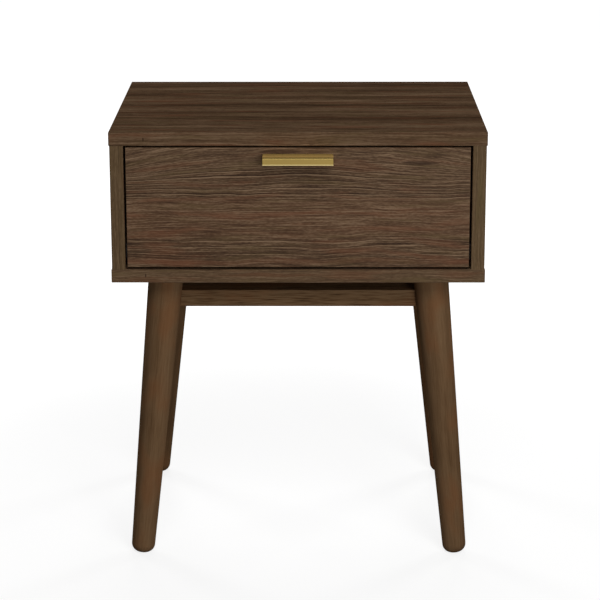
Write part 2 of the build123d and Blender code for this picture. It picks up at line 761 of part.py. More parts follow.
def make_handle():
    section = Plane(origin=(handle_length / 2, front_face_y, handle_root_z), x_dir=(0, -1, 0),
                    z_dir=(-1, 0, 0))
    with BuildPart() as handle:
        with BuildSketch(section):
            with BuildLine():
                FilletPolyline((0, -handle_flange), (0, 0), (handle_projection, -handle_slope),
                               (handle_projection, -handle_lip), radius=handle_bend)
                offset(amount=handle_thickness, side=Side.RIGHT)
            make_face()
        extrude(amount=handle_length)
        lip_edges = handle.edges().filter_by(GeomType.LINE).group_by(Axis.Y)[0]
        fillet(lip_edges.sort_by(Axis.Z)[0], handle_edge)
        end_faces = handle.faces().filter_by(Axis.X).group_by(Axis.X)
        fillet(end_faces[0].edges() + end_faces[-1].edges(), handle_end_edge)
        for side in (-1, 1):
            rod((side * handle_screw_spacing / 2, front_face_y, handle_screw_z), (0, -1, 0),
                handle_screw_diameter + 2 * fit_play, handle_thickness, Mode.SUBTRACT)
    return handle


def make_handle_screws():
    with BuildPart() as screws:
        for side in (-1, 1):
            head = (side * handle_screw_spacing / 2, front_rear_y, handle_screw_z)
            rod(head, (0, -1, 0), handle_screw_diameter, front_thickness + handle_thickness)
            rod(head, (0, 1, 0), handle_screw_head, handle_screw_head_height)
    return screws


# ---- build every piece ----

os.makedirs("parts", exist_ok=True)

right_side_panel = make_right_side_panel()
right_rail = make_right_rail()
right_cabinet_runner = make_right_cabinet_runner()
right_drawer_runner = make_right_drawer_runner()
right_box_side = make_right_box_side()
front_right_roller = make_roller((front_roller_x, front_roller_y, front_roller_z),
                                 front_roller_radius)
rear_right_roller = make_roller((rear_roller_x, rear_roller_y, rear_roller_z),
                                rear_roller_radius)

pieces = {
    "top_panel": make_top_panel(),
    "left_side_panel": mirrored(right_side_panel),
    "right_side_panel": right_side_panel,
    "bottom_panel": make_bottom_panel(),
    "back_panel": make_back_panel(),
    "carcass_dowels": make_carcass_dowels(),
    "cam_locks": make_cam_locks(),
    "cam_bolts": make_cam_bolts(),
    "base_screws": make_base_screws(),
    "front_left_leg": make_leg(-1, -1),
    "front_right_leg": make_leg(1, -1),
    "rear_left_leg": make_leg(-1, 1),
    "rear_right_leg": make_leg(1, 1),
    "front_rail": make_long_rail(-1),
    "rear_rail": make_long_rail(1),
    "left_rail": mirrored(right_rail),
    "right_rail": right_rail,
    "frame_dowels": make_frame_dowels(),
    "leg_dowels": make_leg_dowels(),
    "leg_inserts": make_leg_inserts(),
    "leg_washers": make_leg_washers(),
    "leg_bolts": make_leg_bolts(),
    "left_cabinet_runner": mirrored(right_cabinet_runner),
    "right_cabinet_runner": right_cabinet_runner,
    "cabinet_runner_screws": make_cabinet_runner_screws(),
    "front_roller_rivets": make_front_rivets(),
    "front_left_roller": mirrored(front_right_roller),
    "front_right_roller": front_right_roller,
    "drawer_front": make_drawer_front(),
    "drawer_left_side": mirrored(right_box_side),
    "drawer_right_side": right_box_side,
    "drawer_back": make_drawer_back(),
    "drawer_bottom": make_drawer_bottom(),
    "drawer_dowels": make_drawer_dowels(),
    "drawer_cam_locks": make_drawer_cam_locks(),
    "drawer_cam_bolts": make_drawer_cam_bolts(),
    "drawer_back_screws": make_drawer_back_screws(),
    "left_drawer_runner": mirrored(right_drawer_runner),
    "right_drawer_runner": right_drawer_runner,
    "drawer_runner_screws": make_drawer_runner_screws(),
    "rear_roller_rivets": make_rear_rivets(),
    "rear_left_roller": mirrored(rear_right_roller),
    "rear_right_roller": rear_right_roller,
    "handle": make_handle(),
    "handle_screws": make_handle_screws(),
}

for name, piece in pieces.items():
    save(piece, name)
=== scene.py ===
import logging
import math
from dataclasses import dataclass, field
from enum import Enum
from functools import cached_property, partial, reduce

import bmesh
import bpy
from mathutils import Matrix, Vector


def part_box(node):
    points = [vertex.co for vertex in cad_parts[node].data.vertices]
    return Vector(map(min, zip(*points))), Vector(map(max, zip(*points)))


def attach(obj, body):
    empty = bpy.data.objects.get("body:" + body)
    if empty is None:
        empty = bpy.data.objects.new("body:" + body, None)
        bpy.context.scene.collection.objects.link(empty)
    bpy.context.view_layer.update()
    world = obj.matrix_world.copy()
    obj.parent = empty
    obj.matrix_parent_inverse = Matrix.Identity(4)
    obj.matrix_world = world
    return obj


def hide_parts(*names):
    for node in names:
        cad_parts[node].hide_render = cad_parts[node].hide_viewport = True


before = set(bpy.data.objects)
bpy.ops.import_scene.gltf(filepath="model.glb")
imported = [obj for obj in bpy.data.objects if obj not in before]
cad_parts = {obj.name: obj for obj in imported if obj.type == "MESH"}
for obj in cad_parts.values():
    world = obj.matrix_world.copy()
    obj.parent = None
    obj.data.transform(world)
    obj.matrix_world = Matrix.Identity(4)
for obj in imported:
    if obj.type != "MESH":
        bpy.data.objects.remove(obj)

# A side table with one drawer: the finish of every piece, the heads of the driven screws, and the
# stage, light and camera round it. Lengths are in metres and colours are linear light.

LOG = logging.getLogger("side_table")

Socket = bpy.types.NodeSocket
Scalar = float | Socket
Colour = tuple[float, float, float]
Point = tuple[float, float, float]

BAND_SHIFT = 0.37             # moves the print of an edge band away from the face's


def tint(red: int, green: int, blue: int) -> Colour:
    """Turn a display colour into linear light.

    Args:
        red: Red from 0 to 255.
        green: Green from 0 to 255.
        blue: Blue from 0 to 255.

    Returns:
        The colour in linear light, each channel from 0 to 1.
    """
    def linear(channel: int) -> float:
        share = channel / 255
        return share / 12.92 if share <= 0.04045 else ((share + 0.055) / 1.055) ** 2.4

    return linear(red), linear(green), linear(blue)


class Axis(Enum):
    """A direction of the table's frame."""

    X = 0
    Y = 1
    Z = 2

    @property
    def direction(self) -> Vector:
        """Return the axis as a vector of length 1."""
        return Vector([float(number == self.value) for number in range(3)])


class Drive(Enum):
    """The recess in a screw's head."""

    CROSS = "cross"
    HEXAGON = "hexagon"


# ---- node graphs ----


class Graph:
    """A node tree, built through short calls."""

    def __init__(self, owner: bpy.types.Material | bpy.types.World) -> None:
        """Start an empty tree.

        Args:
            owner: The new material or world that the tree belongs to.
        """
        self.owner = owner
        owner.use_nodes = True
        self.nodes = owner.node_tree.nodes
        self.links = owner.node_tree.links
        self.nodes.clear()

    @cached_property
    def place(self) -> bpy.types.Node:
        """Return the node that tells where a point lies on its object."""
        return self.nodes.new("ShaderNodeTexCoord")

    def feed(self, socket: Socket, value: object) -> None:
        """Link a socket into another, or set its value.

        Args:
            socket: The input to feed.
            value: An output socket, a number or a colour.
        """
        if isinstance(value, bpy.types.NodeSocket):
            self.links.new(value, socket)
        elif isinstance(value, tuple) and len(value) == 3 and socket.type == "RGBA":
            socket.default_value = (*value, 1.0)
        else:
            socket.default_value = value

    def math(self, operation: str, *terms: Scalar) -> Socket:
        """Return the result of a math node.

        Args:
            operation: The math node's operation, such as MULTIPLY.
            *terms: Its inputs in order.

        Returns:
            The node's output.
        """
        node = self.nodes.new("ShaderNodeMath")
        node.operation = operation
        for socket, term in zip(node.inputs, terms):
            self.feed(socket, term)
        return node.outputs[0]

    def total(self, *terms: Scalar) -> Scalar:
        """Return the sum of all terms."""
        return reduce(partial(self.math, "ADD"), terms)

    def product(self, *terms: Scalar) -> Scalar:
        """Return the product of all terms."""
        return reduce(partial(self.math, "MULTIPLY"), terms)

    def centred(self, value: Scalar, weight: Scalar) -> Scalar:
        """Return how far a value lies from a half, weighted."""
        return self.product(self.math("SUBTRACT", value, 0.5), weight)

    def split(self, vector: Socket) -> tuple[Socket, Socket, Socket]:
        """Return the three parts of a vector."""
        node = self.nodes.new("ShaderNodeSeparateXYZ")
        self.feed(node.inputs[0], vector)
        return node.outputs[0], node.outputs[1], node.outputs[2]

    def vector(self, x: Scalar, y: Scalar, z: Scalar) -> Socket:
        """Return a vector made of three parts."""
        node = self.nodes.new("ShaderNodeCombineXYZ")
        for socket, part in zip(node.inputs, (x, y, z)):
            self.feed(socket, part)
        return node.outputs[0]

    def along(self, direction: Vector) -> Socket:
        """Return how far a place lies along a direction, in metres."""
        node = self.nodes.new("ShaderNodeVectorMath")
        node.operation = "DOT_PRODUCT"
        self.links.new(self.place.outputs["Object"], node.inputs[0])
        node.inputs[1].default_value = direction
        return node.outputs["Value"]

    def scaled(self, scale: float) -> Socket:
        """Return the place on the object, scaled for fine noise."""
        node = self.nodes.new("ShaderNodeVectorMath")
        node.operation = "SCALE"
        self.links.new(self.place.outputs["Object"], node.inputs[0])
        node.inputs["Scale"].default_value = scale
        return node.outputs[0]

    def noise(self, vector: Socket, detail: float = 2.0, roughness: float = 0.5) -> Socket:
        """Return fractal noise from about 0 to 1 over a vector already scaled.

        Args:
            vector: Where the noise is read.
            detail: The number of finer octaves.
            roughness: How strong each finer octave is.

        Returns:
            The noise value.
        """
        node = self.nodes.new("ShaderNodeTexNoise")
        self.links.new(vector, node.inputs["Vector"])
        node.inputs["Scale"].default_value = 1.0
        node.inputs["Detail"].default_value = detail
        node.inputs["Roughness"].default_value = roughness
        return node.outputs[0]

    def stretch(self, value: Scalar, low: float, high: float, out_low: float = 0.0,
                out_high: float = 1.0) -> Socket:
        """Map a range of values onto another, smoothly and clamped.

        Args:
            value: The value to map.
            low: The value that gives out_low.
            high: The value that gives out_high.
            out_low: The result at low.
            out_high: The result at high.

        Returns:
            The mapped value.
        """
        node = self.nodes.new("ShaderNodeMapRange")
        node.interpolation_type = "SMOOTHSTEP"
        for socket, term in zip(node.inputs, (value, low, high, out_low, out_high)):
            self.feed(socket, term)
        return node.outputs[0]

    def choose(self, share: Scalar, first: Scalar, second: Scalar) -> Socket:
        """Return a number between two, by share."""
        node = self.nodes.new("ShaderNodeMix")
        node.data_type = "FLOAT"
        for socket, term in zip((node.inputs[0], node.inputs[2], node.inputs[3]), (share, first, second)):
            self.feed(socket, term)
        return node.outputs[0]

    def blend(self, share: Scalar, first: object, second: object) -> Socket:
        """Return a colour between two.

        Args:
            share: How much of the second colour there is.
            first: The first colour.
            second: The second colour.

        Returns:
            The blended colour.
        """
        node = self.nodes.new("ShaderNodeMix")
        node.data_type = "RGBA"
        for socket, term in zip((node.inputs[0], node.inputs[6], node.inputs[7]), (share, first, second)):
            self.feed(socket, term)
        return node.outputs[2]

    def ramp(self, value: Socket, stops: tuple[tuple[float, Colour], ...]) -> Socket:
        """Return the colour that a value has on a colour ramp.

        Args:
            value: Where on the ramp to read.
            stops: Pairs of a position from 0 to 1 and a colour, in order.

        Returns:
            The colour.
        """
        node = self.nodes.new("ShaderNodeValToRGB")
        marks = node.color_ramp.elements
        while len(marks) < len(stops):
            marks.new(0.5)
        for mark, (position, colour) in zip(marks, stops):
            mark.position = position
            mark.color = (*colour, 1.0)
        self.feed(node.inputs[0], value)
        return node.outputs[0]

    def relief(self, height: Socket, strength: float, depth: float) -> Socket:
        """Return a normal bent by a height.

        Args:
            height: The surface's height from 0 to 1.
            strength: How much of the bump is used.
            depth: The height of 1 in metres.

        Returns:
            The bent normal.
        """
        node = self.nodes.new("ShaderNodeBump")
        node.inputs["Strength"].default_value = strength
        node.inputs["Distance"].default_value = depth
        self.links.new(height, node.inputs["Height"])
        return node.outputs[0]

    def surface(self, colour: object, roughness: Scalar, normal: Socket,
                **settings: object) -> bpy.types.Material:
        """Close the graph with a principled surface.

        Args:
            colour: The base colour.
            roughness: The roughness.
            normal: The bent normal.
            **settings: Other inputs by name, with underscores for spaces.

        Returns:
            The finished material.
        """
        shader = self.nodes.new("ShaderNodeBsdfPrincipled")
        self.feed(shader.inputs["Base Color"], colour)
        self.feed(shader.inputs["Roughness"], roughness)
        self.links.new(normal, shader.inputs["Normal"])
        for name, value in settings.items():
            self.feed(shader.inputs[name.replace("_", " ")], value)
        output = self.nodes.new("ShaderNodeOutputMaterial")
        self.links.new(shader.outputs[0], output.inputs["Surface"])
        return self.owner


# ---- finishes ----


@dataclass(frozen=True)
class Crown:
    """The arched figure of a flat-sawn face, where the streaks rise towards a crest."""

    centre: float = 0.0       # place of the crest along the grain
    rise: float = 0.0         # how far the streaks rise to the crest
    reach: float = 0.2        # half of the arch's length
    level: float = 0.0        # the arch is fullest above this place across the grain
    fade: float = 0.05        # and gone this far below it


@dataclass(frozen=True)
class Belt:
    """A strip along the grain in which the print changes its character."""

    low: float                # where it starts across the grain
    high: float               # and where it ends
    edge: float = 0.006       # width of its soft borders
    lines: float = 0.0        # more or less of the growth lines
    tone: float = 0.0         # lighter or darker
    warmth: float = 0.0       # how much of the red tint


@dataclass(frozen=True)
class Knot:
    """A dark spot or eye in the print."""

    run: float                # its place along the grain
    across: float             # and across it
    length: float             # half of its length
    height: float             # half of its height
    depth: float = 0.5        # how dark it is


@dataclass(frozen=True)
class GrowthLine:
    """One of the lines that each year leaves, drawn once in every spacing."""

    place: float              # within the spacing, from 0 to 1
    reach: float              # half of its width, in the same measure
    weight: float             # pale above zero, dark below


@dataclass(frozen=True)
class Layer:
    """One scale of the print's noise."""

    length: float             # of a cell along the grain
    width: float              # and across it
    offset: float             # keeps its noise apart from the other layers'
    detail: float = 1.0


BANDS = Layer(0.7, 0.034, 3.1, 2.0)
STREAKS = Layer(0.12, 0.0040, 5.3)
DASHES = Layer(0.05, 0.0014, 7.9)
FLECKS = Layer(0.006, 0.0011, 8.3)
BLOTCHES = Layer(0.03, 0.010, 9.7, 2.0)
PORES = Layer(0.012, 0.0005, 11.3, 0.0)
HUES = Layer(0.12, 0.011, 17.9, 2.0)
JITTER = Layer(0.5, 0.02, 19.1)
PRESENCE = Layer(0.25, 0.012, 21.3)
GROWTH_LINES = (GrowthLine(0.5, 0.12, 0.75), GrowthLine(0.7, 0.16, -0.45))


@dataclass(frozen=True)
class WalnutPrint:
    """Printed walnut on board: growth lines, streaks, dashes and pores in drifting tints."""

    name: str
    grain: Axis
    facing: Axis
    seed: float = 0.0
    crown: Crown = field(default_factory=Crown)
    belts: tuple[Belt, ...] = ()
    knots: tuple[Knot, ...] = ()
    band: float = 0.3                        # weight of the broad bands
    streak: float = 0.4                      # of the long streaks
    grained: float = 1.3                     # of the dashes
    fleck_share: float = 0.55                # of the flecks, against the dashes
    mottle: float = 0.15                     # of the blotches
    lines: float = 0.3                       # of the growth lines
    spacing: float = 0.008                   # from one growth line to the next
    uneven: float = 3.0                      # spacings by which the lines drift apart
    uneven_streak: float = 0.35              # and by which the streaks pull them
    sway: float = 0.016                      # how far the grain wanders
    contrast: float = 1.0
    band_contrast: float = 0.7               # the same on an edge band
    band_olive: float = 0.0                  # how far an edge band turns to the olive tint
    dark: Colour = tint(50, 35, 25)
    middle: Colour = tint(88, 67, 49)
    light: Colour = tint(130, 106, 83)
    red: Colour = tint(106, 68, 48)
    olive: Colour = tint(90, 74, 48)
    roughness: float = 0.5
    specular: float = 0.06

    def coordinates(self, graph: Graph) -> tuple[Socket, Socket, Socket]:
        """Lay the print on a board's faces and lengthwise on its edge bands.

        Args:
            graph: The material's graph.

        Returns:
            The places along and across the grain, and 1 on an edge band and 0 on a face.
        """
        across = ({Axis.X, Axis.Y, Axis.Z} - {self.grain, self.facing}).pop()
        places = graph.split(graph.place.outputs["Object"])
        normals = graph.split(graph.place.outputs["Normal"])
        on_face = graph.math("GREATER_THAN", graph.math("ABSOLUTE", normals[self.facing.value]), 0.7)
        on_end = graph.math("GREATER_THAN", graph.math("ABSOLUTE", normals[self.grain.value]), 0.7)
        edge = graph.math("SUBTRACT", 1.0, on_face)
        run = graph.choose(on_end, places[self.grain.value], places[across.value])
        banded = graph.math("ADD", places[self.facing.value], BAND_SHIFT)
        return run, graph.choose(edge, places[across.value], banded), edge

    def spot(self, graph: Graph, knot: Knot, run: Socket, across: Socket) -> Socket:
        """Return how much a knot darkens each place.

        Args:
            graph: The material's graph.
            knot: The knot.
            run: The place along the grain.
            across: The place across the grain.

        Returns:
            Its depth at its middle and 0 outside it.
        """
        sideways = graph.math("DIVIDE", graph.math("SUBTRACT", run, knot.run), knot.length)
        upwards = graph.math("DIVIDE", graph.math("SUBTRACT", across, knot.across), knot.height)
        distance = graph.total(graph.product(sideways, sideways), graph.product(upwards, upwards))
        return graph.stretch(distance, 1.4, 0.3, 0.0, knot.depth)

    def flow(self, graph: Graph, run: Socket, across: Socket) -> Socket:
        """Bend the places across the grain by the crown and the grain's sway.

        Args:
            graph: The material's graph.
            run: The place along the grain.
            across: The place across the grain.

        Returns:
            The bent place, which stays the same along one line of the figure.
        """
        stirred = graph.noise(graph.vector(graph.math("MULTIPLY", run, 7.0),
                                           graph.math("MULTIPLY", across, 16.0), self.seed + 1.7), 3.0)
        bow = graph.math("DIVIDE", graph.math("SUBTRACT", run, self.crown.centre), self.crown.reach)
        fullness = graph.stretch(across, self.crown.level - self.crown.fade, self.crown.level)
        lift = graph.product(bow, bow, graph.product(fullness, self.crown.rise))
        return graph.total(across, lift, graph.centred(stirred, self.sway))

    def belted(self, graph: Graph, rings: Socket) -> tuple[Scalar, Scalar, Scalar]:
        """Return the weight of the growth lines, the tone and the warmth that the belts give.

        Args:
            graph: The material's graph.
            rings: The bent place across the grain.

        Returns:
            The three values, at each place.
        """
        lined, tone, warmth = self.lines, 0.0, 0.0
        for belt in self.belts:
            inside = graph.product(graph.stretch(rings, belt.low - belt.edge, belt.low + belt.edge),
                                   graph.stretch(rings, belt.high + belt.edge, belt.high - belt.edge))
            lined = graph.total(lined, graph.product(inside, belt.lines))
            tone = graph.total(tone, graph.product(inside, belt.tone))
            warmth = graph.total(warmth, graph.product(inside, belt.warmth))
        return lined, tone, warmth

    def stroke(self, graph: Graph, turn: Socket, line: GrowthLine) -> Socket:
        """Return a growth line's weight at each place within the spacing."""
        away = graph.math("ABSOLUTE", graph.math("SUBTRACT", turn, line.place))
        return graph.product(graph.stretch(away, line.reach, 0.0), line.weight)

    def material(self) -> bpy.types.Material:
        """Return the finish as a material."""
        graph = Graph(bpy.data.materials.new(self.name))
        run, across, edge = self.coordinates(graph)
        rings = self.flow(graph, run, across)

        def read(layer: Layer) -> Socket:
            """Return a layer's noise about zero."""
            where = graph.vector(graph.math("DIVIDE", run, layer.length),
                                 graph.math("DIVIDE", rings, layer.width), self.seed + layer.offset)
            return graph.math("SUBTRACT", graph.noise(where, layer.detail), 0.5)

        streak, dash, hue = read(STREAKS), read(DASHES), read(HUES)
        lined, tone, warmth = self.belted(graph, rings)
        presence = graph.stretch(read(PRESENCE), -0.2, 0.02, 0.5, 1.0)
        turn = graph.math("FRACT", graph.total(graph.math("DIVIDE", rings, self.spacing),
                                               graph.product(read(JITTER), self.uneven),
                                               graph.product(streak, self.uneven_streak)))
        drawn = graph.total(*(self.stroke(graph, turn, line) for line in GROWTH_LINES))
        growth = graph.product(drawn, graph.product(presence, lined))
        figure = graph.total(graph.product(read(BANDS), self.band), graph.product(streak, self.streak),
                             graph.product(dash, self.grained),
                             graph.product(read(FLECKS), self.fleck_share * self.grained),
                             graph.product(read(BLOTCHES), self.mottle), growth, tone)
        strength = graph.choose(edge, self.contrast, self.contrast * self.band_contrast)
        value = graph.total(graph.product(figure, strength), 0.5)

        colour = graph.ramp(value, ((0.1, self.dark), (0.5, self.middle), (0.9, self.light)))
        reddish = graph.total(graph.stretch(hue, 0.0, 0.2, 0.0, 0.45), warmth)
        reddish = graph.math("SUBTRACT", reddish, graph.product(edge, self.band_olive * 0.5))
        colour = graph.blend(reddish, colour, self.red)
        greenish = graph.total(graph.stretch(hue, -0.03, -0.22, 0.0, 0.4),
                               graph.product(edge, self.band_olive))
        colour = graph.blend(greenish, colour, self.olive)
        pores = graph.stretch(read(PORES), 0.12, 0.24, 0.0, 0.45)
        colour = graph.blend(pores, colour, self.dark)
        for knot in self.knots:
            colour = graph.blend(self.spot(graph, knot, run, across), colour, self.dark)
        normal = graph.relief(graph.math("SUBTRACT", dash, pores), 0.25, 0.0001)
        gloss = graph.total(self.roughness, graph.product(dash, 0.16))
        return graph.surface(colour, gloss, normal, Specular_IOR_Level=self.specular)


@dataclass(frozen=True)
class StainedWood:
    """Solid wood under a matt walnut stain, its grain along one direction."""

    name: str
    axis: Vector
    seed: float = 0.0
    dark: Colour = tint(60, 42, 27)
    middle: Colour = tint(92, 69, 47)
    light: Colour = tint(114, 89, 64)
    red: Colour = tint(110, 73, 46)
    lift: float = 0.0             # lighter or darker as a whole
    ringed: float = 0.7           # weight of the broad growth rings
    grained: float = 0.5          # of the fine fibres
    clouded: float = 0.35         # and of the stain's clouds
    roughness: float = 0.38
    specular: float = 0.0

    def material(self) -> bpy.types.Material:
        """Return the finish as a material."""
        graph = Graph(bpy.data.materials.new(self.name))
        axis = self.axis.normalized()
        reference = Axis.Y if abs(axis.y) < 0.9 else Axis.Z
        side = axis.cross(reference.direction).normalized()
        run, first, second = (graph.along(direction) for direction in (axis, side, axis.cross(side)))

        def layer(run_scale: float, cross_scale: float, offset: float, detail: float = 2.0,
                  roughness: float = 0.5) -> Socket:
            """Return noise with so many cells to a metre along the grain and across it."""
            shifted = graph.total(second, self.seed + offset)
            where = graph.vector(graph.product(run, run_scale), graph.product(first, cross_scale),
                                 graph.product(shifted, cross_scale))
            return graph.noise(where, detail, roughness)

        ring = layer(2.2, 70.0, 0.31, 3.0, 0.6)
        fibre = layer(30.0, 640.0, 0.57, 2.0, 0.6)
        cloud = layer(14.0, 26.0, 0.83, 2.0)
        dash = layer(70.0, 2200.0, 1.13, 0.0)
        value = graph.total(graph.centred(ring, self.ringed), 0.5, graph.centred(fibre, self.grained),
                            graph.centred(cloud, self.clouded), self.lift)
        colour = graph.ramp(value, ((0.15, self.dark), (0.5, self.middle), (0.85, self.light)))
        colour = graph.blend(graph.stretch(cloud, 0.46, 0.7, 0.0, 0.6), colour, self.red)
        colour = graph.blend(graph.stretch(dash, 0.66, 0.8, 0.0, 0.2), colour, self.dark)
        normal = graph.relief(fibre, 0.2, 0.0001)
        gloss = graph.total(self.roughness, graph.centred(fibre, 0.12))
        return graph.surface(colour, gloss, normal, Specular_IOR_Level=self.specular)


@dataclass(frozen=True)
class BrushedBrass:
    """Satin brass, brushed lengthwise, with painted highlights on its top and its lower edge."""

    name: str
    bright: Colour = tint(149, 126, 66)
    dull: Colour = tint(131, 109, 53)
    # colours of the painted highlights on the lip's lower edge and on the top
    edge_highlight_colour: Colour = tint(208, 188, 130)
    top_highlight_colour: Colour = tint(230, 191, 112)
    edge_highlight_top: float = 0.5622          # painted highlight: the lip's lower edge is coloured bright below this height
    edge_highlight_front: float = -0.2055       # in front of this depth
    top_highlight_rise: tuple[float, float] = (-0.187, -0.202)      # painted highlight: the top turns lighter between these depths
    top_highlight_fall: tuple[float, float] = (-0.2055, -0.2085)    # and back again between these
    top_highlight_level: float = 0.5685                        # above this height
    edge_step: float = 0.0006         # height over which a painted highlight fades
    roughness: float = 0.42
    metallic: float = 0.5             # half plain colour, which shows where there is nothing to mirror
    specular: float = 0.3

    def material(self) -> bpy.types.Material:
        """Return the finish as a material."""
        graph = Graph(bpy.data.materials.new(self.name))
        x, y, z = graph.split(graph.place.outputs["Object"])

        def layer(run_scale: float, cross_scale: float, detail: float, roughness: float) -> Socket:
            """Return noise with so many cells to a metre along the pull and across it."""
            where = graph.vector(graph.product(x, run_scale), graph.product(y, cross_scale),
                                 graph.product(z, cross_scale))
            return graph.noise(where, detail, roughness)

        lines, cloud = layer(14.0, 2600.0, 2.0, 0.6), layer(22.0, 60.0, 3.0, 0.5)
        colour = graph.blend(graph.product(graph.total(lines, cloud), 0.5), self.dull, self.bright)
        # painted highlights: the lip's lower edge and the top are coloured lighter where light catches them
        edge_highlight = graph.product(graph.stretch(z, self.edge_highlight_top, self.edge_highlight_top - self.edge_step, 0.0, 0.9),
                               graph.stretch(y, self.edge_highlight_front, self.edge_highlight_front - 0.001))
        top_highlight = graph.product(graph.stretch(y, *self.top_highlight_rise, 0.45, 0.95),
                             graph.stretch(y, *self.top_highlight_fall, 1.0, 0.0),
                             graph.stretch(z, self.top_highlight_level, self.top_highlight_level + self.edge_step))
        colour = graph.blend(top_highlight, colour, self.top_highlight_colour)
        colour = graph.blend(edge_highlight, colour, self.edge_highlight_colour)
        gloss = graph.total(self.roughness - 0.08, graph.product(lines, 0.16))
        return graph.surface(colour, gloss, graph.relief(lines, 0.15, 0.00003), Metallic=self.metallic,
                             Specular_IOR_Level=self.specular)


@dataclass(frozen=True)
class PlainMetal:
    """Bare or plated metal with a fine mottle."""

    name: str
    colour: Colour
    roughness: float
    mottle: float = 900.0

    def material(self) -> bpy.types.Material:
        """Return the finish as a material."""
        graph = Graph(bpy.data.materials.new(self.name))
        grain = graph.noise(graph.scaled(self.mottle), 3.0, 0.6)
        darker = tuple(0.7 * part for part in self.colour)
        colour = graph.blend(grain, darker, self.colour)
        gloss = graph.total(self.roughness - 0.1, graph.product(grain, 0.2))
        return graph.surface(colour, gloss, graph.relief(grain, 0.1, 0.00005), Metallic=1.0)


@dataclass(frozen=True)
class Moulded:
    """A coated, moulded or plain turned surface with a fine skin and faint darker clouds."""

    name: str
    colour: Colour
    roughness: float
    peel: float = 700.0
    specular: float = 0.45

    def material(self) -> bpy.types.Material:
        """Return the finish as a material."""
        graph = Graph(bpy.data.materials.new(self.name))
        skin = graph.noise(graph.scaled(self.peel), 1.0)
        cloud = graph.noise(graph.place.outputs["Object"], 3.0, 0.6)
        darker = tuple(0.86 * part for part in self.colour)
        colour = graph.blend(cloud, darker, self.colour)
        gloss = graph.total(self.roughness - 0.06, graph.product(skin, 0.12))
        return graph.surface(colour, gloss, graph.relief(skin, 0.12, 0.0001),
                             Specular_IOR_Level=self.specular)


def dress(material: bpy.types.Material, *names: str) -> None:
    """Give CAD nodes a finish.

    Args:
        material: The finish.
        *names: The nodes that get it.
    """
    for name in names:
        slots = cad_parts[name].data.materials
        slots.clear()
        slots.append(material)
    LOG.info("%s on %s", material.name, ", ".join(names))


# ---- fasteners ----

DOME = ((0.86, 0.82), (0.97, 0.5), (1.0, 0.15))     # a raised head, in shares of its radius and rise
POINT = 0.1                                         # a point's blunt end, as a share of the shank
RECESS_TAPER = 0.75                                 # a recess's floor against its mouth
CROSS_ARM = 1 / 7                                   # half the width of a cross's arm, against its length
MERGE = 1e-7                                        # points closer than this are one


